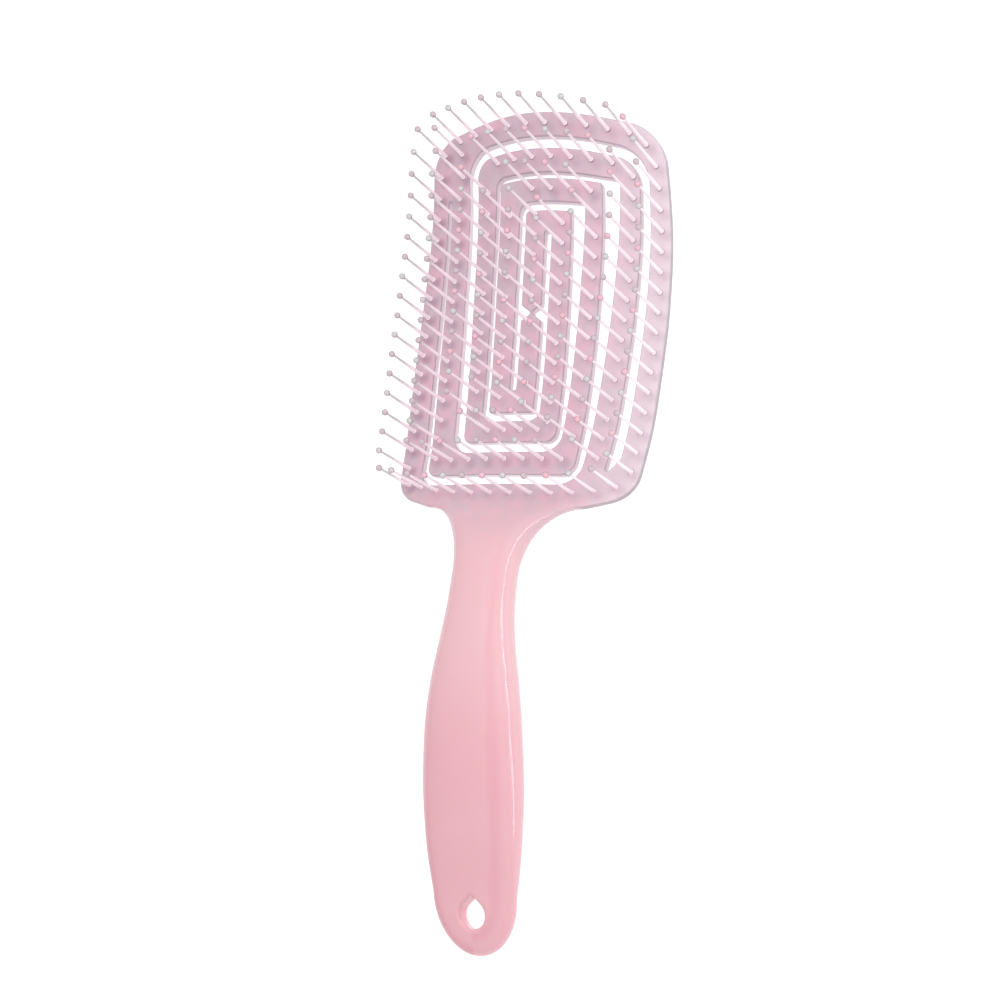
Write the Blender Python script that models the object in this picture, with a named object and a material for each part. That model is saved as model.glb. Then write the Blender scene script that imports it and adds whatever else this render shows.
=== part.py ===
"""Scalp massage brush with a vented spiral head, in metres, +Z up.

The brush is drawn in its moulding frame: X across, Y towards the head's tip, with zero where
the head begins at the neck, and Z along the pins. An empty then lays it on its back, on the
flat behind its hanging hole and on the two sides of its head.
"""

import math

import bmesh
import bpy
from mathutils import Vector

# Head, seen from the pins
HEAD_LENGTH = 0.1170
HEAD_WIDTH = 0.0806
TIP_ARCH = 0.0047
TIP_CORNER = 0.0120
NECK_CORNER = 0.0105
NECK_LIFT = 0.0016
PLATE_THICKNESS = 0.0030

# Handle
HANDLE_LENGTH = 0.1247
HANDLE_WIDTH = 0.0300
HANDLE_THICKNESS = 0.0148
NECK_FILLET_LENGTH = 0.0213
REST_LAND_LENGTH = 0.0060

# Side view: how far the brush waves up and down, and how far the head's sides bend back
WAVE_HEIGHT = 0.0300
CROWN_DROP = 0.0095

# Hanging hole, a drop with its point towards the head
HOLE_RADIUS = 0.0039
HOLE_POINT = 0.0053
HOLE_FROM_END = 0.0110

# Slots of the spiral: widths from their outer ends inwards, then corners
START_SLOT = 0.0012
OUTER_SLOT_NECK = 0.0036
OUTER_SLOT_TIP = 0.0024
ROW_SLOT = 0.0030
SECOND_SLOT = 0.0033
HIDDEN_SLOT_TIP = 0.0013
HIDDEN_SLOT_NECK = 0.0021
WIDE_SLOT_TIP = 0.0050
WIDE_SLOT_NECK = 0.0022
THIRD_SLOT_TIP = 0.0040
THIRD_SLOT_NECK = 0.0018
THIN_ROW_SLOT = 0.0016
INNER_ROW_SLOT = 0.0025
INNER_SLOT = 0.0021
SLOT_CORNER = 0.0045
BRIDGE_WIDTH = 0.0010
BRIDGE_LENGTH = 0.0009
BRIDGE_MOUTH = 0.0046

# Pins, and the strips that join the pins of one run at their roots
PIN_LENGTH = 0.0190
PIN_ROOT = 0.0015
PIN_NECK = 0.0008
BALL_WIDTH = 0.0020
PIN_PITCH = 0.00605
STRIP_THICKNESS = 0.0007
SEAT_CLEARANCE = 0.0003
CUT_OVERRUN = 0.0050

# Places along the brush are shares: minus one at the handle's end, one at the head's tip
HEAD_WIDTH_SHARES = ((0.10, 0.950), (0.26, 0.984), (0.50, 1.0), (0.70, 0.985), (0.88, 0.949))
HANDLE_WIDTH_SHARES = (
    (-0.87, 0.84), (-0.79, 0.93), (-0.70, 0.985), (-0.62, 1.0), (-0.50, 0.95),
    (-0.41, 0.86), (-0.32, 0.73), (-0.25, 0.655), (-0.17, 0.63),
)
WAVE_SHARES = (
    (-1.0, -0.475), (-0.88, -0.28), (-0.75, -0.093), (-0.62, 0.063), (-0.50, 0.20),
    (-0.36, 0.302), (-0.25, 0.335), (-0.14, 0.322), (-0.06, 0.26), (0.0, 0.145),
    (0.05, 0.045), (0.12, -0.048), (0.22, -0.103), (0.34, -0.098), (0.47, -0.043),
    (0.60, 0.035), (0.73, 0.118), (0.83, 0.212), (0.915, 0.338), (1.0, 0.50),
)
CROWN_SHARES = (
    (-0.14, 0.0), (-0.06, 0.25), (0.02, 0.40), (0.15, 0.34), (0.34, 0.45),
    (0.51, 0.76), (0.68, 1.0), (0.85, 1.0), (1.0, 1.0),
)
CROWN_SPREAD_SHARE = 0.856
HANDLE_THICKNESS_SHARES = (
    (-1.0, 0.36), (-0.93, 0.43), (-0.86, 0.47), (-0.75, 0.70), (-0.62, 0.95), (-0.50, 1.0),
    (-0.36, 0.95), (-0.20, 0.84), (-0.10, 0.74), (-0.04, 0.57), (0.0, 0.36), (0.025, 0.25),
)
PLATE_BEGINS_SHARE = 0.05
SECTION_SQUARENESS_SHARES = ((-1.0, 3.2), (-0.85, 3.0), (-0.6, 2.3), (-0.15, 2.5), (0.02, 6.0), (0.06, 10.0))

# The slots' lines: columns as shares of the half width at the neck and at the tip, then rows
COLUMN_SHARES = ((0.772, 0.828), (0.510, 0.586), (0.308, 0.337), (0.104, 0.107))
NECK_ROW_SHARES = (0.0763, 0.1653, 0.2459, 0.316)
TIP_ROW_SHARES = (0.931, 0.855, 0.781, 0.718)
BRIDGE_SHARE = 0.513
SLOT_START_SHARES = (0.700, 0.105)
RUN_SHARE = 0.15
QUARTER_STEPS = 5
SECTION_STEPS = 8

# Runs of pins: where the outer and the inner rows lie
OUTER_ROW_INSET = 0.0030
OUTER_ROW_SHIFT = 0.0009
OUTER_ROW_LIFT = 0.0009
OUTER_COLUMN_INSET = 0.0027
NECK_ROW_RISE = 0.0042
INNER_ROW_RISE = 0.0007
# Where the outer rows and the outer columns begin, as shares of half the head's width
TIP_ROW_END_SHARE = 0.6756
NECK_ROW_END_SHARE = 0.7506
COLUMN_START_SHARE = 0.8107
# Each column's upper and lower end as shares of the head, then how far across its ribbon it stands there
COLUMN_RUN_SHARES = {
    "right_second": ((0.857, 0.138), (0.68, 0.50)),
    "left_second": ((0.842, 0.1385), (0.60, 0.70)),
    "right_third": ((0.757, 0.193), (0.555, 0.555)),
    "left_third": ((0.829, 0.265), (0.40, 0.44)),
    "right_fourth": ((0.737, 0.232), (0.5, 0.5)),
    "left_fourth": ((0.762, 0.298), (0.5, 0.5)),
}
# Where two columns on the left run on round a corner, as shares of half the head's width and of its length
LEFT_SECOND_START_SHARES = ((-0.650, 0.935), (-0.640, 0.896))
LEFT_OUTER_END_SHARES = ((-0.841, 0.065),)
# The rows' ends as shares of the slot columns that they turn into
TIP_SECOND_SHARES = (-0.57, 1.025)
NECK_SECOND_SHARES = (-1.08, 0.72)
TIP_THIRD_SHARES = (-0.085, 1.285)
NECK_THIRD_SHARES = (-0.876, 0.44)
UPPER_TONGUE_SHARES = (0.555, 0.761)
LOWER_TONGUE_SHARES = (0.282, 0.487)

PINK = (0.83, 0.50, 0.56, 1.0)
PALE_PINK = (0.93, 0.72, 0.77, 1.0)


def along(share):
    """A share of the head or handle as a place on Y."""
    return share * (HEAD_LENGTH if share > 0 else HANDLE_LENGTH)


def smooth(shares, y):
    """The value at y of a smooth curve through (place, value) pairs."""
    places = [along(place) for place, _ in shares]
    values = [value for _, value in shares]
    if y <= places[0]:
        return values[0]
    if y >= places[-1]:
        return values[-1]
    slopes = []
    for i in range(len(places)):
        before, after = max(i - 1, 0), min(i + 1, len(places) - 1)
        slopes.append((values[after] - values[before]) / (places[after] - places[before]))
    i = next(i for i in range(len(places) - 1) if y <= places[i + 1])
    span = places[i + 1] - places[i]
    t = (y - places[i]) / span
    from_start = (1 + 2 * t) * (1 - t) ** 2 * values[i] + t * (1 - t) ** 2 * span * slopes[i]
    from_end = t**2 * (3 - 2 * t) * values[i + 1] - t**2 * (1 - t) * span * slopes[i + 1]
    return from_start + from_end


def head_half_width(y):
    return smooth(HEAD_WIDTH_SHARES, y) * HEAD_WIDTH / 2


def arch_drop(x):
    """How far the head's tip, and the rows along it, fall back at x."""
    return TIP_ARCH * (2 * x / HEAD_WIDTH) ** 2


def middle_height(x, y):
    """Height of the middle of the brush's thickness."""
    crown = smooth(CROWN_SHARES, y) * CROWN_DROP
    bend = math.sin(math.radians(90) * CROWN_SPREAD_SHARE * 2 * x / HEAD_WIDTH)
    return smooth(WAVE_SHARES, y) * WAVE_HEIGHT - crown * bend**2


def half_thickness(y):
    if y >= along(PLATE_BEGINS_SHARE):
        return PLATE_THICKNESS / 2
    thick = smooth(HANDLE_THICKNESS_SHARES, y) * HANDLE_THICKNESS / 2
    return max(thick, PLATE_THICKNESS / 2)


def plate_top(x, y):
    return middle_height(x, y) + half_thickness(y)


def quarter(steps, first=0.0, last=1.0):
    """Angles over a share of a quarter turn."""
    return [math.radians(90) * (first + (last - first) * i / steps) for i in range(steps + 1)]


def outline():
    """(y, half width) of the brush's outline, from the handle's end to the head's tip."""
    found = []
    end_start = along(HANDLE_WIDTH_SHARES[0][0])
    end_half = HANDLE_WIDTH_SHARES[0][1] * HANDLE_WIDTH / 2
    end_length = HANDLE_LENGTH + end_start
    for angle in quarter(7, 0.97, 0.1):
        found.append((end_start - end_length * math.sin(angle), end_half * math.cos(angle)))
    fillet_start = -NECK_FILLET_LENGTH
    places = 12
    for i in range(places):
        y = end_start + (fillet_start - end_start) * i / places
        found.append((y, smooth(HANDLE_WIDTH_SHARES, y) * HANDLE_WIDTH / 2))
    neck_half = smooth(HANDLE_WIDTH_SHARES, fillet_start) * HANDLE_WIDTH / 2
    neck_side = head_half_width(NECK_CORNER)
    corner_x = neck_side - NECK_CORNER
    fillet_end = corner_x - NECK_CORNER / 3
    for angle in quarter(7):
        x = fillet_end - (fillet_end - neck_half) * math.cos(angle)
        found.append((fillet_start + NECK_FILLET_LENGTH * math.sin(angle), x))
    for angle in quarter(QUARTER_STEPS, 1 - 1 / QUARTER_STEPS, 0.0):
        y = NECK_LIFT + NECK_CORNER * (1 - math.sin(angle))
        found.append((y, corner_x + NECK_CORNER * math.cos(angle)))
    tip_x = head_half_width(HEAD_LENGTH - TIP_CORNER) - TIP_CORNER
    tip_y = HEAD_LENGTH - arch_drop(tip_x) - TIP_CORNER
    start = NECK_LIFT + NECK_CORNER
    columns = 9
    for i in range(1, columns):
        y = start + (tip_y - start) * i / columns
        found.append((y, head_half_width(y)))
    for angle in quarter(QUARTER_STEPS, 0.0, 1 - 1 / (2 * QUARTER_STEPS)):
        found.append((tip_y + TIP_CORNER * math.sin(angle), tip_x + TIP_CORNER * math.cos(angle)))
    for share in (0.72, 0.45, 0.2):
        x = tip_x * share
        found.append((HEAD_LENGTH - arch_drop(x), x))
    return found


def end_rounding(y):
    """Share of the thickness that is left close to either end of the brush."""
    margin = PLATE_THICKNESS / 2
    left = min((HEAD_LENGTH - y) / margin, (y + HANDLE_LENGTH) / margin, 1.0)
    return 0.45 + 0.55 * math.sqrt(max(0.0, 1 - (1 - left) ** 2))


def section(y, half_width):
    """Points round the brush at y, anticlockwise seen from the head's tip."""
    squareness = smooth(SECTION_SQUARENESS_SHARES, y)
    half = half_thickness(y) * end_rounding(y)
    points = []
    turn = 4 * SECTION_STEPS
    for i in range(turn):
        angle = math.radians(360) * i / turn
        x = half_width * math.cos(angle)
        rise = half * (1 - abs(math.cos(angle)) ** squareness) ** (1 / squareness)
        z = middle_height(x, y) + math.copysign(rise, math.sin(angle))
        points.append(Vector((x, y, z)))
    return points


def rest_plane(sections):
    """(height at y = 0, slope) of the plane that the brush lies on, along Y."""
    land_y = REST_LAND_LENGTH - HANDLE_LENGTH
    land_z = middle_height(0, land_y) - half_thickness(land_y)
    lowest = [(points[0].y, min(point.z for point in points)) for points in sections]
    slope = min((z - land_z) / (y - land_y) for y, z in lowest if y > 0)
    return land_z - slope * land_y, slope


def new_object(name, mesh, collection, material=None):
    made = bpy.data.objects.new(name, mesh)
    collection.objects.link(made)
    if material:
        mesh.materials.append(material)
    return made


def to_mesh(shape, name):
    bmesh.ops.recalc_face_normals(shape, faces=shape.faces)
    mesh = bpy.data.meshes.new(name)
    shape.to_mesh(mesh)
    shape.free()
    return mesh


def new_material(name, colour, roughness):
    made = bpy.data.materials.new(name)
    made.use_nodes = True
    shader = made.node_tree.nodes["Principled BSDF"]
    shader.inputs["Base Color"].default_value = colour
    shader.inputs["Roughness"].default_value = roughness
    shader.inputs["Metallic"].default_value = 0.0
    return made


def brush_body_mesh(sections):
    """The brush's outer shape, lofted from the handle's round sections to the head's flat ones."""
    height, slope = rest_plane(sections)
    shape = bmesh.new()
    rings = []
    for points in sections:
        ring = []
        for point in points:
            floor = height + slope * point.y
            ring.append(shape.verts.new((point.x, point.y, max(point.z, floor))))
        rings.append(ring)
    count = len(rings[0])
    for first, second in zip(rings, rings[1:]):
        for i in range(count):
            after = (i + 1) % count
            shape.faces.new((first[i], first[after], second[after], second[i]))
    shape.faces.new(rings[0])
    shape.faces.new(rings[-1])
    return to_mesh(shape, "brush_body")


def column_x(index, y):
    """Distance from the centre line to a slot column at y."""
    neck_y = along(NECK_ROW_SHARES[0])
    tip_y = along(TIP_ROW_SHARES[0])
    t = (y - neck_y) / (tip_y - neck_y)
    neck_share, tip_share = COLUMN_SHARES[index]
    return (neck_share + (tip_share - neck_share) * t) * head_half_width(y)


def slot_corner(side, column, row, tip_end, widths, radius=0.0):
    """A corner of the spiral: side is -1 or 1, and rows count inwards from their end.

    The widths are the slot's before the corner and after it.
    """
    y = along((TIP_ROW_SHARES if tip_end else NECK_ROW_SHARES)[row])
    x = side * column_x(column, y)
    point = Vector((x, y - arch_drop(x) if tip_end else y))
    return {"point": point, "column": (side, column), "arched": tip_end, "widths": widths, "radius": radius}


def bowed(corners):
    """The slot's corners with more points between, where its columns bow and its tip rows arch."""
    line = []
    for now, after in zip(corners, corners[1:]):
        line.append(now)
        same_column = now["column"] == after["column"]
        if not same_column and not (now["arched"] and after["arched"]):
            continue
        start, end = now["point"], after["point"]
        row_y = start.y + arch_drop(start.x)
        steps = max(1, round((end - start).length / along(RUN_SHARE)))
        for i in range(1, steps):
            spot = start.lerp(end, i / steps)
            if same_column:
                side, column = now["column"]
                spot.x = side * column_x(column, spot.y)
            else:
                spot.y = row_y - arch_drop(spot.x)
            width = now["widths"][1] + (after["widths"][0] - now["widths"][1]) * i / steps
            line.append({"point": spot, "widths": (width, width), "radius": 0.0})
    return line + [corners[-1]]


def slot_paths():
    """The two slots, each from its outer end inwards.

    The second slot is nearly the first one turned half a turn about the head's middle.
    """
    start_y = along(SLOT_START_SHARES[1])
    start = Vector((SLOT_START_SHARES[0] * HEAD_WIDTH / 2, start_y))
    bend = Vector((column_x(0, start_y + SLOT_CORNER), start_y + SLOT_CORNER))
    first = [
        {"point": start, "column": None, "arched": False, "widths": (START_SLOT, START_SLOT), "radius": 0.0},
        {"point": bend, "column": (1, 0), "arched": False, "widths": (OUTER_SLOT_NECK,) * 2, "radius": 0.0},
        slot_corner(1, 0, 0, True, (OUTER_SLOT_TIP, ROW_SLOT), 2 * SLOT_CORNER),
        slot_corner(-1, 1, 0, True, (ROW_SLOT, SECOND_SLOT), 1.6 * SLOT_CORNER),
        slot_corner(-1, 1, 1, False, (SECOND_SLOT, ROW_SLOT), SLOT_CORNER),
        slot_corner(1, 2, 1, False, (ROW_SLOT, THIRD_SLOT_NECK), SLOT_CORNER),
        slot_corner(1, 2, 2, True, (THIRD_SLOT_TIP, INNER_ROW_SLOT)),
        slot_corner(-1, 3, 2, True, (INNER_ROW_SLOT, INNER_SLOT), SLOT_CORNER / 2),
        slot_corner(-1, 3, 3, False, (INNER_SLOT, INNER_SLOT)),
    ]
    second = [
        slot_corner(-1, 0, 1, True, (HIDDEN_SLOT_TIP,) * 2),
        slot_corner(-1, 0, 0, False, (HIDDEN_SLOT_NECK, ROW_SLOT), SLOT_CORNER),
        slot_corner(1, 1, 0, False, (ROW_SLOT, WIDE_SLOT_NECK), 1.3 * SLOT_CORNER),
        slot_corner(1, 1, 1, True, (WIDE_SLOT_TIP, THIN_ROW_SLOT)),
        slot_corner(-1, 2, 1, True, (THIN_ROW_SLOT, HIDDEN_SLOT_TIP), SLOT_CORNER / 2),
        slot_corner(-1, 2, 2, False, (HIDDEN_SLOT_NECK, INNER_ROW_SLOT), SLOT_CORNER / 2),
        slot_corner(1, 3, 2, False, (INNER_ROW_SLOT, INNER_SLOT), SLOT_CORNER / 2),
        slot_corner(1, 3, 3, True, (INNER_SLOT, INNER_SLOT)),
    ]
    return bowed(first), bowed(second)


def rounded(before, point, after, radius):
    """A corner's point, or the arc that rounds it."""
    inward, outward = (before - point).normalized(), (after - point).normalized()
    bend = math.pi - inward.angle(outward)
    if radius <= 0 or bend < math.radians(20):
        return [point]
    reach = radius * math.tan(bend / 2)
    centre = point + (inward + outward).normalized() * radius / math.cos(bend / 2)
    first, last = point + inward * reach, point + outward * reach
    arc = []
    for i in range(QUARTER_STEPS + 1):
        spoke = (first - centre).lerp(last - centre, i / QUARTER_STEPS)
        arc.append(centre + spoke.normalized() * radius)
    return arc


def mitre(into, away, widths):
    """From a slot's line to its left edge, where stretches of two directions and widths meet."""
    first, second = Vector((-into.y, into.x)), Vector((-away.y, away.x))
    overlap = first.dot(second)
    if overlap > math.cos(math.radians(15)):
        return (first + second) * (widths[0] + widths[1]) / (4 + 4 * overlap)
    before, after = widths[0] / 2, widths[1] / 2
    scale = 1 - overlap**2
    return first * (before - after * overlap) / scale + second * (after - before * overlap) / scale


def slot_side(path, side):
    """One edge of a slot, with its corners rounded."""
    points = []
    for i, stop in enumerate(path):
        point = stop["point"]
        into = (point - path[i - 1]["point"]).normalized() if i else None
        away = (path[i + 1]["point"] - point).normalized() if i + 1 < len(path) else into
        points.append(point + side * mitre(into or away, away, stop["widths"]))
    edge = [points[0]]
    for i in range(1, len(points) - 1):
        width, radius = sum(path[i]["widths"]) / 2, path[i]["radius"]
        into, away = points[i] - points[i - 1], points[i + 1] - points[i]
        outside = (into.x * away.y - into.y * away.x) * side < 0
        own = radius + width / 2 if outside else radius - width / 2
        edge += rounded(points[i - 1], points[i], points[i + 1], own if radius else 0)
    return edge + [points[-1]]


def prism_cutter(name, outlines, collection):
    """A cutter through the whole brush, from closed outlines seen from the pins."""
    curve = bpy.data.curves.new(name, "CURVE")
    curve.dimensions = "2D"
    curve.fill_mode = "BOTH"
    curve.extrude = WAVE_HEIGHT
    for points in outlines:
        spline = curve.splines.new("POLY")
        spline.points.add(len(points) - 1)
        for spot, point in zip(spline.points, points):
            spot.co = (point.x, point.y, 0, 1)
        spline.use_cyclic_u = True
    guide = new_object(name + "_curve", curve, collection)
    graph = bpy.context.evaluated_depsgraph_get()
    mesh = bpy.data.meshes.new_from_object(guide.evaluated_get(graph))
    bpy.data.objects.remove(guide)
    shape = bmesh.new()
    shape.from_mesh(mesh)
    bpy.data.meshes.remove(mesh)
    bmesh.ops.remove_doubles(shape, verts=shape.verts, dist=SEAT_CLEARANCE / 100)
    return as_cutter(new_object(name, to_mesh(shape, name), collection))


def as_cutter(cutter):
    cutter.hide_render = True
    cutter.display_type = "WIRE"
    return cutter


def bridge_notches():
    """The two notches that part the spiral's inner ends, but for a narrow bridge."""
    y = along(BRIDGE_SHARE)
    reach = column_x(3, y)
    notches = []
    for side in (-1, 1):
        wide, narrow = side * reach, side * BRIDGE_WIDTH / 2
        notches.append([
            Vector((wide, y - BRIDGE_MOUTH / 2)),
            Vector((narrow, y - BRIDGE_LENGTH / 2)),
            Vector((narrow, y + BRIDGE_LENGTH / 2)),
            Vector((wide, y + BRIDGE_MOUTH / 2)),
        ])
    return notches


def hanging_hole():
    centre = HOLE_FROM_END - HANDLE_LENGTH
    opening = math.acos(HOLE_RADIUS / HOLE_POINT)
    points = [Vector((0, centre + HOLE_POINT))]
    steps = 20
    for i in range(steps + 1):
        angle = math.radians(90) + opening + (math.radians(360) - 2 * opening) * i / steps
        points.append(Vector((HOLE_RADIUS * math.cos(angle), centre + HOLE_RADIUS * math.sin(angle))))
    return points


def ribbon_column(name):
    """A route down the ribbon inside a slot column, leaning to one side of its middle."""
    (first, last), (upper_lean, lower_lean) = COLUMN_RUN_SHARES[name]
    side = 1 if name.startswith("right") else -1
    column = ("outer", "second", "third", "fourth").index(name.split("_")[1])
    steps = 5
    route = []
    for i in range(steps + 1):
        y = along(first + (last - first) * i / steps)
        inner, outer = column_x(column, y), column_x(column - 1, y)
        lean = upper_lean + (lower_lean - upper_lean) * i / steps
        route.append(Vector((side * (inner + (outer - inner) * lean), y)))
    return route


def arched_row(y, first, last, lift=0):
    """A route along the tip's arch, between two places across. Lift raises its first end."""
    steps = 5
    route = []
    for i in range(steps + 1):
        x = first + (last - first) * i / steps
        route.append(Vector((x, y - arch_drop(x) + lift * max(0, x / first))))
    return route


def head_places(shares):
    return [Vector((x * HEAD_WIDTH / 2, y * HEAD_LENGTH)) for x, y in shares]


def strip_routes():
    """Name and route of each run of pins along its ribbon."""
    neck_rows = [along(share) for share in NECK_ROW_SHARES]
    tip_rows = [along(share) for share in TIP_ROW_SHARES]
    routes = {}

    # Outer ribbon: one row at either end and a column on either side
    outer_y = HEAD_LENGTH - OUTER_ROW_INSET
    tip_span, neck_span = (share * HEAD_WIDTH / 2 for share in (TIP_ROW_END_SHARE, NECK_ROW_END_SHARE))
    row_ends = (OUTER_ROW_SHIFT - tip_span, OUTER_ROW_SHIFT + tip_span)
    routes["pin_strip_tip_outer"] = arched_row(outer_y, *row_ends, OUTER_ROW_LIFT)
    neck_row = []
    for share in (-1.0, -0.75, -0.5, 0.0, 0.5, 0.75, 0.9, 1.04):
        rise = NECK_ROW_RISE * (1 + 0.6 * share**4)
        neck_row.append(Vector((neck_span * share + OUTER_ROW_SHIFT, rise)))
    routes["pin_strip_neck_outer"] = neck_row
    for side, word, gap_share in ((-1, "left", 1 / 8), (1, "right", 1 / 3)):
        x = side * COLUMN_START_SHARE * HEAD_WIDTH / 2
        column = [Vector((x, outer_y - arch_drop(x) - PIN_PITCH * gap_share))]
        for share in (0.875, 0.72, 0.56, 0.40, 0.25, 0.103):
            y = along(share)
            column.append(Vector((side * (head_half_width(y) - OUTER_COLUMN_INSET), y)))
        routes[f"pin_strip_{word}_outer"] = column
    routes["pin_strip_left_outer"] += head_places(LEFT_OUTER_END_SHARES)

    # Inner ribbons: a column on either side, then the rows at the tip and at the neck
    for name in COLUMN_RUN_SHARES:
        routes["pin_strip_" + name] = ribbon_column(name)
    start = head_places(LEFT_SECOND_START_SHARES)
    routes["pin_strip_left_second"] = start + routes["pin_strip_left_second"]

    outer_tip, inner_tip = ((tip_rows[i] + tip_rows[i + 1]) / 2 + INNER_ROW_RISE for i in (0, 1))
    reach = column_x(1, outer_tip)
    routes["pin_strip_tip_second"] = arched_row(outer_tip, *(share * reach for share in TIP_SECOND_SHARES))
    reach = column_x(2, inner_tip)
    routes["pin_strip_tip_third"] = arched_row(inner_tip, *(share * reach for share in TIP_THIRD_SHARES))

    outer_neck = (neck_rows[0] + neck_rows[1]) / 2 + OUTER_ROW_INSET / 2
    reach = column_x(1, outer_neck)
    routes["pin_strip_neck_second"] = [Vector((share * reach, outer_neck)) for share in NECK_SECOND_SHARES]
    inner_neck = (neck_rows[1] + neck_rows[2]) / 2 + INNER_ROW_RISE
    reach = column_x(2, inner_neck)
    routes["pin_strip_neck_third"] = [Vector((share * reach, inner_neck)) for share in NECK_THIRD_SHARES]

    # The two tongues in the middle
    for name, shares in (("upper", UPPER_TONGUE_SHARES), ("lower", LOWER_TONGUE_SHARES)):
        routes[f"pin_strip_{name}_tongue"] = [Vector((0, along(share))) for share in shares[::-1]]
    return routes


def spots_along(route, distances):
    """(point, direction) at each distance along a route of straight stretches."""
    spots = []
    for distance in distances:
        left = distance
        for i in range(len(route) - 1):
            step = route[i + 1] - route[i]
            if left <= step.length or i == len(route) - 2:
                spots.append((route[i] + step.normalized() * left, step.normalized()))
                break
            left -= step.length
    return spots


def pin_places(route):
    """Distances of the pins along a route, evenly spaced from end to end."""
    length = sum((b - a).length for a, b in zip(route, route[1:]))
    gaps = max(1, round(length / PIN_PITCH))
    return [length * i / gaps for i in range(gaps + 1)]


def add_bar(shape, spots, half_width, below, above):
    """Adds a bar that follows the plate's top face. Returns the top face of each stretch."""
    made = bmesh.ops.create_cube(shape, size=1.0)["verts"]
    end = next(f for f in made[0].link_faces[:] + made[-1].link_faces[:] if all(v.co.y > 0 for v in f.verts))

    def place(spot, side, level):
        point, direction = spot
        normal = Vector((direction.y, -direction.x))
        flat = point + side * normal * half_width
        return Vector((flat.x, flat.y, plate_top(point.x, point.y) + (above if level > 0 else -below)))

    for vert in made:
        spot = spots[1] if vert.co.y > 0 else spots[0]
        vert.tag = vert.co.z > 0
        vert.index = 1 if vert.co.x > 0 else -1
        vert.co = place(spot, vert.index, 1 if vert.tag else -1)
    keys = [(vert.index, 1 if vert.tag else -1) for vert in end.verts]
    tops = [top_face(end, keys)]
    for spot in spots[2:]:
        end = bmesh.ops.extrude_discrete_faces(shape, faces=[end])["faces"][0]
        for vert, (side, level) in zip(end.verts, keys):
            vert.co = place(spot, side, level)
        tops.append(top_face(end, keys))
    return tops


def top_face(end, keys):
    """The stretch's top face, which shares the end face's upper edge."""
    upper = {vert for vert, key in zip(end.verts, keys) if key[1] > 0}
    edge = next(edge for edge in end.edges if set(edge.verts) == upper)
    return next(face for face in edge.link_faces if face is not end)


def raise_pin(shape, pad, spot):
    """Draws a pin up out of its pad: a tapered shaft with a ball on its end."""
    point, direction = spot
    top = plate_top(point.x, point.y)
    axis = Vector((direction.x, direction.y, 0))
    across = Vector((direction.y, -direction.x, 0))
    centre = Vector((point.x, point.y, 0))
    signs = []
    for vert in pad.verts:
        offset = vert.co - centre
        signs.append((math.copysign(1, offset.dot(axis)), math.copysign(1, offset.dot(across))))
    rings = (
        (PIN_NECK, PIN_LENGTH - BALL_WIDTH / 2),
        (BALL_WIDTH, PIN_LENGTH),
        (PIN_NECK, PIN_LENGTH + BALL_WIDTH / 2),
    )
    for width, height in rings:
        pad = bmesh.ops.extrude_discrete_faces(shape, faces=[pad])["faces"][0]
        for vert, (by_axis, by_side) in zip(pad.verts, signs):
            flat = centre + (axis * by_axis + across * by_side) * width / 2
            vert.co = Vector((flat.x, flat.y, top + height))


def strip_mesh(name, route):
    """One strip: a bar along the ribbon with its pins standing on it."""
    shape = bmesh.new()
    places = pin_places(route)
    edges = [place + half for place in places for half in (-PIN_ROOT / 2, PIN_ROOT / 2)]
    tops = add_bar(shape, spots_along(route, edges), PIN_ROOT / 2, STRIP_THICKNESS, 0)
    for pad, spot in zip(tops[::2], spots_along(route, places)):
        raise_pin(shape, pad, spot)
    return to_mesh(shape, name)


def channel_mesh(routes):
    """The seats of all the strips, cut from the ribbons' top faces."""
    shape = bmesh.new()
    for route in routes.values():
        places = pin_places(route)
        reach = PIN_ROOT / 2 + SEAT_CLEARANCE
        places[0] -= reach
        places[-1] += reach
        add_bar(shape, spots_along(route, places), reach, STRIP_THICKNESS + SEAT_CLEARANCE, CUT_OVERRUN)
    return to_mesh(shape, "strip_seats")


def cut(body, name, cutter):
    modifier = body.modifiers.new(name, "BOOLEAN")
    modifier.operation = "DIFFERENCE"
    modifier.solver = "EXACT"
    modifier.object = cutter


def lay_down(frame, sections, objects):
    """Turns the brush onto its back and sets the middle of its underside on the origin."""
    _, slope = rest_plane(sections)
    frame.rotation_euler = (-math.atan(slope), 0, 0)
    bpy.context.view_layer.update()
    corners = [made.matrix_world @ vert.co for made in objects for vert in made.data.vertices]
    low = [min(corner[i] for corner in corners) for i in range(3)]
    high = [max(corner[i] for corner in corners) for i in range(3)]
    frame.location = (-(low[0] + high[0]) / 2, -(low[1] + high[1]) / 2, -low[2])


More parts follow.
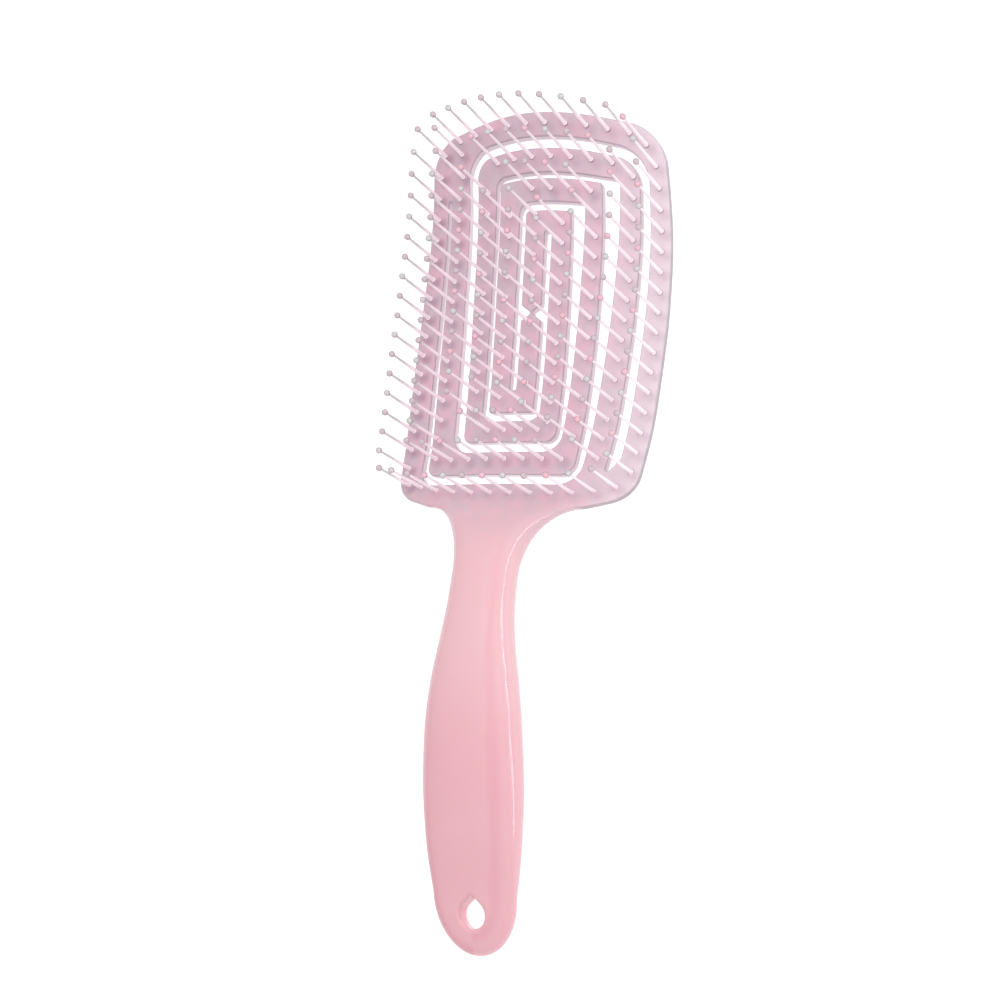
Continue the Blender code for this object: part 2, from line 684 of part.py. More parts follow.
def main():
    for old in list(bpy.data.objects):
        bpy.data.objects.remove(old)
    parts = bpy.data.collections.new("scalp_massage_brush")
    cutters = bpy.data.collections.new("cutters")
    bpy.context.scene.collection.children.link(parts)
    bpy.context.scene.collection.children.link(cutters)
    body_plastic = new_material("translucent pink plastic", PINK, 0.25)
    pin_nylon = new_material("pale pink nylon", PALE_PINK, 0.35)

    sections = [section(y, half_width) for y, half_width in outline()]
    body = new_object("brush_body", brush_body_mesh(sections), parts, body_plastic)
    slots = []
    for path in slot_paths():
        slots.append(slot_side(path, 1) + slot_side(path, -1)[::-1])
    cut(body, "spiral slots", prism_cutter("slot_cutter", slots, cutters))
    cut(body, "bridge notches", prism_cutter("bridge_cutter", bridge_notches(), cutters))
    cut(body, "hanging hole", prism_cutter("hole_cutter", [hanging_hole()], cutters))
    routes = strip_routes()
    seats = as_cutter(new_object("seat_cutter", channel_mesh(routes), cutters))
    cut(body, "strip seats", seats)
    made = [body]
    for name, route in routes.items():
        made.append(new_object(name, strip_mesh(name, route), parts, pin_nylon))

    frame = bpy.data.objects.new("brush_frame", None)
    parts.objects.link(frame)
    for child in made + list(cutters.objects):
        child.parent = frame
    body.data.shade_smooth()
    body.data.set_sharp_from_angle(angle=math.radians(35))
    lay_down(frame, sections, made)


main()
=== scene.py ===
import math

import bmesh
import bpy
import numpy as np
from mathutils import Matrix, Vector


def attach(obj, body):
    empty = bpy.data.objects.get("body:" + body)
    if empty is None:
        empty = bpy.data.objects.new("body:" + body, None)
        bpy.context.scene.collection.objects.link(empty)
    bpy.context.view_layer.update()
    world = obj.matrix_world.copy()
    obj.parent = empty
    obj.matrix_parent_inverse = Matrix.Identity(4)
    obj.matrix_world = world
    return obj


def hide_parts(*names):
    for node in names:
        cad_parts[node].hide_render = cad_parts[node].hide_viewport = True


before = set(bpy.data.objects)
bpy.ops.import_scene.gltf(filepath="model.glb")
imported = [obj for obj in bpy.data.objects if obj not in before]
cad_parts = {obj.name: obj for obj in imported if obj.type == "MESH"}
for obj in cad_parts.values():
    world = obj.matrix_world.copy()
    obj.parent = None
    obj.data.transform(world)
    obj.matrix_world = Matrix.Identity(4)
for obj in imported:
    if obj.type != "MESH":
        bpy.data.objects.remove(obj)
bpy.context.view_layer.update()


# Camera
# A lens of about 69 mm looks down on the pins from the brush's right, from just over half a metre.
# Its place is worked out in the moulding's own axes, where X runs across the head, Y to its tip and
# Z along the pins. The finished brush then lies on its back, turned by TILT and moved by SEAT.
MM = 0.001
TILT = math.radians(-2.0020)
SEAT = Vector((0, 3.86, 10.75)) * MM
LAID_DOWN = Matrix.Translation(SEAT) @ Matrix.Rotation(TILT, 4, "X")

CAMERA_TURN = math.radians(61.885)
CAMERA_RISE = math.radians(60.757)
CAMERA_ROLL = math.radians(-58.123)
CAMERA_OFFSET = (2.249, -2.849)
CAMERA_DISTANCE = 550.1
CAMERA_LENS = 68.86

back = Vector((
    math.cos(CAMERA_RISE) * math.sin(CAMERA_TURN),
    -math.cos(CAMERA_RISE) * math.cos(CAMERA_TURN),
    math.sin(CAMERA_RISE),
))
level = Vector((math.cos(CAMERA_TURN), math.sin(CAMERA_TURN), 0))
across = level * math.cos(CAMERA_ROLL) + back.cross(level) * math.sin(CAMERA_ROLL)
above = back.cross(across)
eye = (back * CAMERA_DISTANCE - across * CAMERA_OFFSET[0] - above * CAMERA_OFFSET[1]) * MM
facing = Matrix((across, above, back)).transposed().to_4x4()
camera = bpy.data.objects.new("camera", bpy.data.cameras.new("camera"))
bpy.context.scene.collection.objects.link(camera)
camera.matrix_world = LAID_DOWN @ Matrix.Translation(eye) @ facing
camera.data.lens = CAMERA_LENS
camera.data.sensor_width = 36
camera.data.clip_start = 0.01
bpy.context.scene.camera = camera


# Floor and lights
# A white light table under the brush and a pale room round it. A broad lamp high above gives the
# soft light, and a long narrow one low on the right is only there for the streak along the handle.
TABLE_SIZE, TABLE_GLOW, ROOM_GLOW = 8, 0.97, 0.42


def material(name, **constants):
    """A new material, its node tree and its shader, with the shader's constant values set."""
    made = bpy.data.materials.new(name)
    made.use_nodes = True
    shader = made.node_tree.nodes["Principled BSDF"]
    for key, value in constants.items():
        shader.inputs[key.replace("_", " ")].default_value = value
    return made, made.node_tree, shader


def put_on(piece, finish):
    piece.data.materials.clear()
    piece.data.materials.append(finish)


bpy.context.scene.view_settings.view_transform = "Standard"
world = bpy.data.worlds.new("pale room")
world.use_nodes = True
world.node_tree.nodes["Background"].inputs["Color"].default_value = (1, 1, 1, 1)
world.node_tree.nodes["Background"].inputs["Strength"].default_value = ROOM_GLOW
bpy.context.scene.world = world

bpy.ops.mesh.primitive_plane_add(size=TABLE_SIZE)
floor = bpy.context.active_object
floor.name = "light_table"
white = material(
    "lit white acrylic", Base_Color=(0.2, 0.2, 0.2, 1), Roughness=0.9, Emission_Color=(1, 1, 1, 1),
    Emission_Strength=TABLE_GLOW,
)[0]
put_on(floor, white)


def lamp(name, place, size, power):
    """A rectangular lamp that points at the brush."""
    light = bpy.data.lights.new(name, "AREA")
    light.shape = "RECTANGLE"
    light.energy, light.size, light.size_y = power, size[0], size[1]
    made = bpy.data.objects.new(name, light)
    bpy.context.scene.collection.objects.link(made)
    made.location = place
    made.rotation_mode = "QUATERNION"
    made.rotation_quaternion = (Vector((0, 0, 0.01)) - Vector(place)).to_track_quat("-Z", "Y")
    return made


lamp("key_lamp", (0.3, 0.1, 1.1), (0.9, 0.9), 9.5).visible_glossy = False
lamp("streak_lamp", (0.95, 0.1, 0.42), (1.4, 0.05), 3.5).visible_diffuse = False


# Body
# Handle, neck and head are one injection moulding in translucent pink plastic. Two through slots
# wind into each other in the head, so that it flexes. The plan is drawn flat as loops and filled,
# its edges get rows for their rounding, and it is given its thickness and bent to its wave.
HEAD_LENGTH, HEAD_WIDTH = 117.0, 80.6
HANDLE_LENGTH, HANDLE_WIDTH, HANDLE_THICKNESS = 124.7, 30.0, 14.8
PLATE_THICKNESS = 3.0
TIP_ARCH, TIP_CORNER = 4.7, 12.0
NECK_CORNER, NECK_LIFT, NECK_FILLET = 10.5, 1.6, 21.3
WAVE_HEIGHT, CROWN_DROP, CROWN_SPREAD = 30.0, 9.5, 0.856
HOLE_RADIUS, HOLE_POINT, HOLE_FROM_END = 3.9, 5.3, 11.0


def along(share):
    """A share of the head, or a negative share of the handle, as a place on Y."""
    return share * (HEAD_LENGTH if share > 0 else HANDLE_LENGTH)


def curve_through(*pairs):
    """A smooth curve through (share, value) pairs, as a function of the place on Y."""
    place = np.array([along(share) for share, _ in pairs])
    value = np.array([value for _, value in pairs])
    last = len(pairs) - 1
    before = np.maximum(np.arange(last + 1) - 1, 0)
    after = np.minimum(np.arange(last + 1) + 1, last)
    slope = (value[after] - value[before]) / (place[after] - place[before])

    def at(y):
        y = np.clip(y, place[0], place[-1])
        i = np.clip(np.searchsorted(place, y) - 1, 0, last - 1)
        span = place[i + 1] - place[i]
        t = (y - place[i]) / span
        start = (1 + 2 * t) * (1 - t) ** 2 * value[i] + t * (1 - t) ** 2 * span * slope[i]
        return start + t**2 * (3 - 2 * t) * value[i + 1] - t**2 * (1 - t) * span * slope[i + 1]

    return at


head_share = curve_through((0.10, 0.950), (0.26, 0.984), (0.50, 1.0), (0.70, 0.985), (0.88, 0.949))
handle_share = curve_through(
    (-0.87, 0.84), (-0.79, 0.93), (-0.70, 0.985), (-0.62, 1.0), (-0.50, 0.95),
    (-0.41, 0.86), (-0.32, 0.73), (-0.25, 0.655), (-0.17, 0.63),
)
wave_share = curve_through(
    (-1.0, -0.475), (-0.88, -0.28), (-0.75, -0.093), (-0.62, 0.063), (-0.50, 0.20),
    (-0.36, 0.302), (-0.25, 0.335), (-0.14, 0.322), (-0.06, 0.26), (0.0, 0.145),
    (0.05, 0.045), (0.12, -0.048), (0.22, -0.103), (0.34, -0.098), (0.47, -0.043),
    (0.60, 0.035), (0.73, 0.118), (0.83, 0.212), (0.915, 0.338), (1.0, 0.50),
)
crown_share = curve_through(
    (-0.14, 0.0), (-0.06, 0.25), (0.02, 0.40), (0.15, 0.34), (0.34, 0.45),
    (0.51, 0.76), (0.68, 1.0), (0.85, 1.0), (1.0, 1.0),
)
thickness_share = curve_through(
    (-1.0, 0.36), (-0.93, 0.43), (-0.86, 0.47), (-0.75, 0.70), (-0.62, 0.95), (-0.50, 1.0),
    (-0.36, 0.95), (-0.20, 0.84), (-0.10, 0.74), (-0.04, 0.57), (0.0, 0.36), (0.025, 0.25),
)
# How the rim is rounded: over what width, how square, and how much upright wall is left
rim_width = curve_through(
    (-1.0, 9.0), (-0.9, 13.0), (-0.62, 15.0), (-0.3, 10.5), (-0.15, 8.5), (-0.04, 5.0), (0.05, 1.3),
)
rim_squareness = curve_through(
    (-1.0, 2.5), (-0.85, 2.8), (-0.6, 2.3), (-0.15, 2.4), (0.02, 2.2), (0.06, 2.0),
)
rim_wall = curve_through((-1.0, 0.06), (-0.1, 0.06), (0.05, 0.25))


def half_width(y):
    return head_share(y) * HEAD_WIDTH / 2


def arch_drop(x):
    """How far the head's tip, and the slots along it, fall back at x."""
    return TIP_ARCH * (2 * x / HEAD_WIDTH) ** 2


def wave(x, y):
    """Height of the middle of the brush's thickness."""
    bend = np.sin(math.radians(90) * CROWN_SPREAD * 2 * x / HEAD_WIDTH)
    return wave_share(y) * WAVE_HEIGHT - crown_share(y) * CROWN_DROP * bend**2


def half_thickness(y):
    thick = np.maximum(thickness_share(y) * HANDLE_THICKNESS, PLATE_THICKNESS) / 2
    return np.where(y >= along(0.05), PLATE_THICKNESS / 2, thick)


def arc(centre, radii, first, last, steps):
    """Points of an arc, between two angles in degrees."""
    angles = np.radians(np.linspace(first, last, steps + 1))
    x, y = centre[0] + radii[0] * np.cos(angles), centre[1] + radii[1] * np.sin(angles)
    return np.stack([x, y], 1)


def softened(points, times):
    """Cuts the corners of a line, and keeps its ends."""
    for _ in range(times):
        first = points[:-1] * 0.75 + points[1:] * 0.25
        second = points[:-1] * 0.25 + points[1:] * 0.75
        cut = np.stack([first, second], 1).reshape(-1, 2)
        points = np.concatenate([points[:1], cut, points[-1:]])
    return points


def stepped(points, step):
    """The same closed line with points evenly spaced, about one step apart."""
    closed = np.concatenate([points, points[:1]])
    lengths = np.concatenate([[0], np.cumsum(np.linalg.norm(np.diff(closed, axis=0), axis=1))])
    places = np.linspace(0, lengths[-1], round(lengths[-1] / step) + 1)[:-1]
    return np.stack([np.interp(places, lengths, closed[:, i]) for i in (0, 1)], 1)


def plan_outline():
    """The brush's outline seen from the pins, anticlockwise."""
    end_y = along(-0.87)
    end_half = float(handle_share(end_y)) * HANDLE_WIDTH / 2
    end = arc((0, end_y), (end_half, HANDLE_LENGTH + end_y), -90, 0, 24)
    side_y = np.linspace(end_y, -NECK_FILLET, 60)[1:]
    side = np.stack([handle_share(side_y) * HANDLE_WIDTH / 2, side_y], 1)
    corner_x = float(half_width(NECK_CORNER)) - NECK_CORNER
    shoulder_x = corner_x - NECK_CORNER / 3
    fillet_radii = (shoulder_x - side[-1, 0], NECK_FILLET)
    fillet = arc((shoulder_x, -NECK_FILLET), fillet_radii, 180, 90, 20)[1:]
    neck = arc((corner_x, NECK_LIFT + NECK_CORNER), (NECK_CORNER, NECK_CORNER), -78, 0, 12)
    tip_x = float(half_width(HEAD_LENGTH - TIP_CORNER)) - TIP_CORNER
    tip_y = HEAD_LENGTH - arch_drop(tip_x) - TIP_CORNER
    head_y = np.linspace(neck[-1, 1], tip_y, 50)[1:-1]
    head = np.stack([half_width(head_y), head_y], 1)
    tip = arc((tip_x, tip_y), (TIP_CORNER, TIP_CORNER), 0, 78, 12)
    arch_x = np.linspace(tip[-1, 0], 0, 14)[1:]
    arch = np.stack([arch_x, HEAD_LENGTH - arch_drop(arch_x)], 1)
    right = softened(np.concatenate([end, side, fillet, neck, head, tip, arch]), 2)
    left = right[-2:0:-1] * (-1, 1)
    return np.concatenate([right, left])


# The slots' columns as shares of the half width, at the neck and at the tip, and their rows
COLUMNS = ((0.772, 0.828), (0.510, 0.586), (0.308, 0.337), (0.104, 0.107))
NECK_ROWS = (0.0763, 0.1653, 0.2459, 0.316)
TIP_ROWS = (0.931, 0.855, 0.781, 0.718)
SLOT_CORNER = 4.5
SLOT_START_SHARE, SLOT_START_Y = 0.700, 12.3
BRIDGE_Y, BRIDGE_WIDTH, BRIDGE_LENGTH, BRIDGE_MOUTH = 60.0, 1.0, 0.9, 4.6


def column_x(index, y):
    """Distance from the centre line to a slot column at y."""
    low, high = along(NECK_ROWS[0]), along(TIP_ROWS[0])
    first, last = COLUMNS[index]
    return (first + (last - first) * (y - low) / (high - low)) * half_width(y)


def slot_line(*corners):
    """A slot's line as (x, y, width, corner radius) stops, bowed with the head between its corners.

    A corner is (side, column, row, at the tip, width before, width after, radius).
    """
    stops = []
    for side, column, row, at_tip, before, after, radius in corners:
        y = along((TIP_ROWS if at_tip else NECK_ROWS)[row])
        x = side * float(column_x(column, y))
        spot = Vector((x, y - arch_drop(x) * at_tip))
        stops.append((spot, (side, column), at_tip, before, after, radius))
    line = []
    for now, then in zip(stops, stops[1:]):
        line.append((now[0], now[3], now[4], now[5]))
        start, end = now[0], then[0]
        row_y = start.y + arch_drop(start.x)
        length = (end - start).length
        steps = max(1, round(length / 2.6))
        for i in range(1, steps):
            behind, ahead = length * i / steps, length * (steps - i) / steps
            if behind < 1.2 * now[5] + 3 or ahead < 1.2 * then[5] + 3:
                continue
            spot = start.lerp(end, i / steps)
            if now[1] == then[1]:
                spot.x = now[1][0] * float(column_x(now[1][1], spot.y))
            elif now[2] and then[2]:
                spot.y = row_y - arch_drop(spot.x)
            width = now[4] + (then[3] - now[4]) * i / steps
            line.append((spot, width, width, 0))
    last = stops[-1]
    return line + [(last[0], last[3], last[4], last[5])]


def rounded(before, point, after, radius):
    """A corner's point, or the arc that rounds it."""
    inward, outward = (before - point).normalized(), (after - point).normalized()
    bend = math.pi - inward.angle(outward)
    if radius <= 0 or bend < math.radians(20):
        return [point]
    reach = radius * math.tan(bend / 2)
    centre = point + (inward + outward).normalized() * radius / math.cos(bend / 2)
    first, last = point + inward * reach, point + outward * reach
    steps = max(3, round(radius * bend / 0.7))
    spokes = [(first - centre).lerp(last - centre, i / steps) for i in range(steps + 1)]
    return [centre + spoke.normalized() * radius for spoke in spokes]


def slot_edge(line, side):
    """One edge of a slot, with its corners rounded."""
    points = []
    for i, (point, before, after, _) in enumerate(line):
        into = (point - line[i - 1][0]).normalized() if i else (line[1][0] - point).normalized()
        away = (line[i + 1][0] - point).normalized() if i + 1 < len(line) else into
        first, second = Vector((-into.y, into.x)), Vector((-away.y, away.x))
        overlap = first.dot(second)
        if overlap > math.cos(math.radians(15)):
            offset = (first + second) * (before + after) / (4 + 4 * overlap)
        else:
            scale = 2 - 2 * overlap**2
            first, second = first * (before - after * overlap), second * (after - before * overlap)
            offset = first / scale + second / scale
        points.append(point + side * offset)
    edge = [points[0]]
    for i in range(1, len(points) - 1):
        into, away = points[i] - points[i - 1], points[i + 1] - points[i]
        outside = (into.x * away.y - into.y * away.x) * side < 0
        half = (line[i][1] + line[i][2]) / 4
        radius = line[i][3]
        own = (radius + half if outside else radius - half) if radius else 0.5
        edge += rounded(points[i - 1], points[i], points[i + 1], own)
    return edge + [points[-1]]


def slot_loop(line):
    """A slot's whole edge as a closed line, with its two ends slightly rounded."""
    edge = slot_edge(line, 1) + slot_edge(line, -1)[::-1]
    left, right = edge[len(slot_edge(line, 1)) - 1], edge[len(slot_edge(line, 1))]
    ends = {0: (edge[-1], edge[1]), len(edge) - 1: (edge[-2], edge[0])}
    ends[edge.index(left)] = (edge[edge.index(left) - 1], right)
    ends[edge.index(right)] = (left, edge[edge.index(right) + 1])
    points = []
    for i, point in enumerate(edge):
        if i in ends:
            before, after = ends[i]
            short = min((before - point).length, (after - point).length, 1.0)
            points += rounded(before, point, after, 0.45 * short)
        else:
            points.append(point)
    return points


def with_notch(loop, side):
    """Opens a slot's inner edge into the notch beside the bridge, on its side of the head."""
    inner = [
        i for i, point in enumerate(loop)
        if abs(point.y - BRIDGE_Y) < BRIDGE_MOUTH / 2 and 0 < point.x * side < column_x(3, point.y)
    ]
    first, last = inner[0], inner[-1]
    rising = loop[last + 1].y > loop[first - 1].y
    x = loop[first].x
    notch = [
        Vector((x, BRIDGE_Y - BRIDGE_MOUTH / 2)),
        Vector((side * BRIDGE_WIDTH / 2, BRIDGE_Y - BRIDGE_LENGTH / 2)),
        Vector((side * BRIDGE_WIDTH / 2, BRIDGE_Y + BRIDGE_LENGTH / 2)),
        Vector((x, BRIDGE_Y + BRIDGE_MOUTH / 2)),
    ]
    return loop[:first] + (notch if rising else notch[::-1]) + loop[last + 1:]


bend_y = SLOT_START_Y + SLOT_CORNER
first_start = [
    (Vector((SLOT_START_SHARE * HEAD_WIDTH / 2, SLOT_START_Y)), 1.2, 1.2, 0),
    (Vector((float(column_x(0, bend_y)), bend_y)), 3.6, 3.6, 0),
]
first_rest = slot_line(
    (1, 0, 0, False, 3.6, 3.6, 0), (1, 0, 0, True, 2.4, 3.0, 2 * SLOT_CORNER),
    (-1, 1, 0, True, 3.0, 3.3, 1.6 * SLOT_CORNER), (-1, 1, 1, False, 3.3, 3.0, SLOT_CORNER),
    (1, 2, 1, False, 3.0, 1.8, SLOT_CORNER), (1, 2, 2, True, 4.0, 2.5, 0),
    (-1, 3, 2, True, 2.5, 2.1, SLOT_CORNER / 2), (-1, 3, 3, False, 2.1, 2.1, 0),
)
first_slot = first_start + [
    stop for stop in first_rest[1:] if stop[0].y > bend_y + 2 or stop[0].x < 20
]
second_slot = slot_line(
    (-1, 0, 1, True, 1.3, 1.3, 0), (-1, 0, 0, False, 2.1, 3.0, SLOT_CORNER),
    (1, 1, 0, False, 3.0, 2.2, 1.3 * SLOT_CORNER), (1, 1, 1, True, 5.0, 1.6, 0),
    (-1, 2, 1, True, 1.6, 1.3, SLOT_CORNER / 2), (-1, 2, 2, False, 2.1, 2.5, SLOT_CORNER / 2),
    (1, 3, 2, False, 2.5, 2.1, SLOT_CORNER / 2), (1, 3, 3, True, 2.1, 2.1, 0),
)
hole_y = HOLE_FROM_END - HANDLE_LENGTH
opening = math.degrees(math.acos(HOLE_RADIUS / HOLE_POINT))
hole = arc((0, hole_y), (HOLE_RADIUS, HOLE_RADIUS), 90 + opening, 450 - opening, 40)
hole = stepped(np.concatenate([[(0, hole_y + HOLE_POINT)], hole]), 0.6)
outline = stepped(plan_outline(), 1.0)
slots = [
    stepped(np.array(with_notch(slot_loop(first_slot), -1)), 0.6),
    stepped(np.array(with_notch(slot_loop(second_slot), 1)), 0.6),
]


def mark(name, values, domain="POINT"):
    """Gives the body a number per point or per face, for its colours to read."""
    values = np.array(values, np.float32)
    body.data.attributes.new(name, "FLOAT", domain).data.foreach_set("value", values)


def add_loop(points):
    """A closed wire through points, shaped from a circle."""
    bpy.ops.mesh.primitive_circle_add(vertices=len(points), radius=1)
    wire = bpy.context.active_object
    for vert, (x, y) in zip(wire.data.vertices, points):
        vert.co = (x, y, 0)
    return wire


def distance_to(points, loops):
    """Distance of each point from the nearest of some closed lines."""
    nearest = np.full(len(points), 1e9)
    for loop in loops:
        start, step = loop, np.roll(loop, -1, 0) - loop
        length = np.maximum((step**2).sum(1), 1e-12)
        for i in range(0, len(points), 2000):
            some = points[i:i + 2000, None] - start[None]
            t = np.clip((some * step).sum(2) / length, 0, 1)
            gap = np.linalg.norm(some - t[..., None] * step, axis=2).min(1)
            nearest[i:i + 2000] = np.minimum(nearest[i:i + 2000], gap)
    return nearest


bpy.ops.object.select_all(action="DESELECT")
wires = [add_loop(points) for points in (outline, *slots, hole)]
bpy.ops.object.select_all(action="DESELECT")
for wire in wires:
    wire.select_set(True)
bpy.context.view_layer.objects.active = wires[0]
bpy.ops.object.join()
body = bpy.context.active_object
body.name = "body"
bpy.ops.object.mode_set(mode="EDIT")
bpy.ops.mesh.select_all(action="SELECT")

# An arch over the neck parts the handle's fill from the head's, and the handle gets wider rows
EDGE_ROWS, HANDLE_ROWS, GRID = (0.04, 0.09, 0.14, 0.19), (0.35, 0.5, 0.7, 0.7), 1.6
ARCH_REACH, ARCH_Y, ARCH_RISE = 12.7, -8, 12
right_end, left_end = (
    int(np.argmin(np.hypot(outline[:, 0] - x, outline[:, 1] - ARCH_Y)))
    for x in (ARCH_REACH, -ARCH_REACH)
)
foot_x, foot_y = outline[right_end]
neck_cut = arc((0, foot_y), (foot_x, ARCH_RISE), 0, 180, 32)[1:-1]
shape = bmesh.from_edit_mesh(body.data)
shape.verts.ensure_lookup_table()
rim_verts, inner_verts = shape.verts[:len(outline)], shape.verts[len(outline):]
hole_verts = [vert for vert in inner_verts if vert.co.y < 0]
slot_verts = [vert for vert in inner_verts if vert.co.y > 0]
arch_verts = [shape.verts.new((x, y, 0)) for x, y in neck_cut]
cut_verts = [rim_verts[right_end], *arch_verts, rim_verts[left_end]]
for start, end in zip(cut_verts, cut_verts[1:]):
    shape.edges.new((start, end))
head_verts = rim_verts[right_end:left_end + 1] + slot_verts
handle_verts = rim_verts[left_end:] + rim_verts[:right_end + 1] + hole_verts
for part in ({*head_verts, *cut_verts}, {*handle_verts, *cut_verts}):
    bpy.ops.mesh.select_all(action="DESELECT")
    for line in shape.edges:
        line.select_set(set(line.verts) <= part)
    bpy.ops.mesh.fill(use_beauty=True)
shape = bmesh.from_edit_mesh(body.data)
for face in shape.faces:
    face.material_index = int(face.select)
bpy.ops.mesh.select_all(action="SELECT")
bpy.ops.mesh.normals_make_consistent(inside=False)
for row in EDGE_ROWS:
    bpy.ops.mesh.inset(thickness=row, use_boundary=True, use_even_offset=True)
shape = bmesh.from_edit_mesh(body.data)
for face in shape.faces:
    face.select_set(face.select and face.material_index == 1)
for row in HANDLE_ROWS:
    bpy.ops.mesh.inset(thickness=row, use_boundary=True, use_even_offset=True)
for x in np.arange(-38.4, 39, GRID):
    bpy.ops.mesh.select_all(action="SELECT")
    bpy.ops.mesh.bisect(plane_co=(x, 0, 0), plane_no=(1, 0, 0))
for y in np.concatenate([np.arange(-123, -21, 2), np.arange(-20, 116, GRID)]):
    bpy.ops.mesh.select_all(action="SELECT")
    bpy.ops.mesh.bisect(plane_co=(0, y, 0), plane_no=(0, 1, 0))
bpy.ops.mesh.select_all(action="SELECT")
bpy.ops.mesh.quads_convert_to_tris(quad_method="BEAUTY", ngon_method="BEAUTY")
bpy.ops.object.mode_set(mode="OBJECT")
bpy.ops.object.modifier_add(type="SOLIDIFY")
body.modifiers[-1].thickness = 2
body.modifiers[-1].offset = 0
bpy.ops.object.modifier_apply(modifier=body.modifiers[-1].name)

SLOT_ROUNDING, HOLE_ROUNDING = 0.46, 1.1
flat = np.array([vert.co for vert in body.data.vertices])
x, y, side = flat[:, 0], flat[:, 1], np.sign(flat[:, 2])
rim_gap = distance_to(flat[:, :2], [outline])
slot_gap = distance_to(flat[:, :2], slots)
hole_gap = distance_to(flat[:, :2], [hole])
inward = 1 - np.minimum(rim_gap / rim_width(y), 1)
dome = (1 - inward ** rim_squareness(y)) ** (1 / rim_squareness(y))
rise = half_thickness(y) * (rim_wall(y) + (1 - rim_wall(y)) * dome)
for gap, radius in ((slot_gap, SLOT_ROUNDING), (hole_gap, HOLE_ROUNDING)):
    left = 1 - np.minimum(gap / radius, 1)
    rise -= radius * (1 - np.sqrt(1 - left**2))
height = wave(x, y) + side * rise
for vert, z in zip(body.data.vertices, height):
    vert.co.z = z
body.data.transform(LAID_DOWN @ Matrix.Scale(MM, 4))
for vert in body.data.vertices:
    vert.co.z = max(vert.co.z, 0)

# The plate's rim and slot lips get a thin dark outline, a painted shade, and the slots' walls are
# painted paler, a painted light standing in for light through the translucent plastic
edge_gap = np.minimum(slot_gap, np.where(y > 0, rim_gap, 9))
mark("edge", np.clip(1 - edge_gap / 0.35, 0, 1))
in_slot = slot_gap < 0.001
wall = [
    float(abs(face.normal.z) < 0.5 and all(in_slot[i] for i in face.vertices))
    for face in body.data.polygons
]
mark("wall", wall, "FACE")
# Painted shade: the handle is darkened along its left edge, and in a faint band beside the right
# one
width_share = rim_gap / (handle_share(y) * HANDLE_WIDTH)
left_shade = np.clip(1 - width_share / 0.12, 0, 1)
right_shade = 0.4 * np.clip(1.3 - np.abs(width_share - 0.2) / 0.06, 0, 1)
shade = np.where(x < 0, left_shade, right_shade) * np.clip(-y / 15 - 0.5, 0, 1)
mark("shade", shade)


def only(piece):
    """Makes a piece the only one selected, and the active one."""
    bpy.ops.object.select_all(action="DESELECT")
    piece.select_set(True)
    bpy.context.view_layer.objects.active = piece


only(body)
bpy.ops.object.shade_smooth_by_angle(angle=math.radians(50))
bpy.ops.object.modifier_add(type="WEIGHTED_NORMAL")
body.modifiers[-1].keep_sharp = True
bpy.ops.object.modifier_apply(modifier=body.modifiers[-1].name)

plastic, tree, shader = material(
    "translucent pink plastic", Roughness=0.2, IOR=1.5, Subsurface_Weight=0.12,
    Subsurface_Scale=0.003, Subsurface_Radius=(1.0, 0.7, 0.7), Coat_Weight=0.25,
    Coat_Roughness=0.06,
)


class Socket:
    """One output of a shader node, with the arithmetic that the materials need."""

    def __init__(self, tree, output):
        self.tree, self.output = tree, output

    def __mul__(self, other):
        return node(self.tree, "Math", {"operation": "MULTIPLY"}, self, other)

    __rmul__ = __mul__


def node(tree, kind, settings=None, *values, output=0, **named):
    """Adds a node, sets it, fills its sockets with values or links, and returns an output."""
    made = tree.nodes.new("ShaderNode" + kind)
    for name, value in (settings or {}).items():
        setattr(made, name, value)
    for key, value in [*enumerate(values), *named.items()]:
        if isinstance(key, str):
            key = int(key[1:]) if key[1:].isdigit() else key.replace("_", " ")
        socket = made.inputs[key]
        if isinstance(value, Socket):
            tree.links.new(value.output, socket)
        else:
            socket.default_value = value
    return Socket(tree, made.outputs[output])


def blend(tree, share, first, second):
    """A colour between two colours, or two colours' outputs."""
    return node(tree, "Mix", {"data_type": "RGBA"}, share, output=2, _6=first, _7=second)


def eased(tree, value, low, high):
    """How far a value is from low to high, eased at both ends."""
    smooth = {"interpolation_type": "SMOOTHSTEP"}
    return node(tree, "MapRange", smooth, value, low, high, 0.0, 1.0)


place = node(tree, "TexCoord", output="Object")
lengthwise = node(tree, "SeparateXYZ", None, place, output="Y")
in_head = eased(tree, lengthwise, -0.016, 0.014)
in_grip = eased(tree, lengthwise, -0.03, -0.075)
patches = node(tree, "TexNoise", None, Vector=place, Scale=170.0, Detail=2.0, Roughness=0.5)
patches = node(tree, "MapRange", None, patches, 0.38, 0.62, 0.0, 1.0)
clouds = node(tree, "TexNoise", None, Vector=place, Scale=28.0, Detail=2.0, Roughness=0.5)
clouds = node(tree, "MapRange", None, clouds, 0.35, 0.65, 0.0, 1.0)
handle_colour = blend(tree, in_grip, (0.90, 0.54, 0.59, 1), (0.89, 0.47, 0.535, 1))
handle_colour = blend(tree, clouds * 0.35, handle_colour, (0.91, 0.56, 0.61, 1))
# Painted shade on the handle, along its left edge and in a band beside its right one
shades = node(tree, "Attribute", {"attribute_name": "shade"}, output="Fac")
handle_colour = blend(tree, shades * 0.9, handle_colour, (0.80, 0.35, 0.43, 1))
plate_colour = blend(tree, patches, (0.64, 0.50, 0.565, 1), (0.74, 0.485, 0.57, 1))
# The plate is painted paler towards its right side, a painted light
across_head = node(tree, "SeparateXYZ", None, place, output="X")
light_to_right = eased(tree, across_head, 0.012, 0.04)
plate_colour = blend(tree, light_to_right, plate_colour, (0.80, 0.67, 0.73, 1))
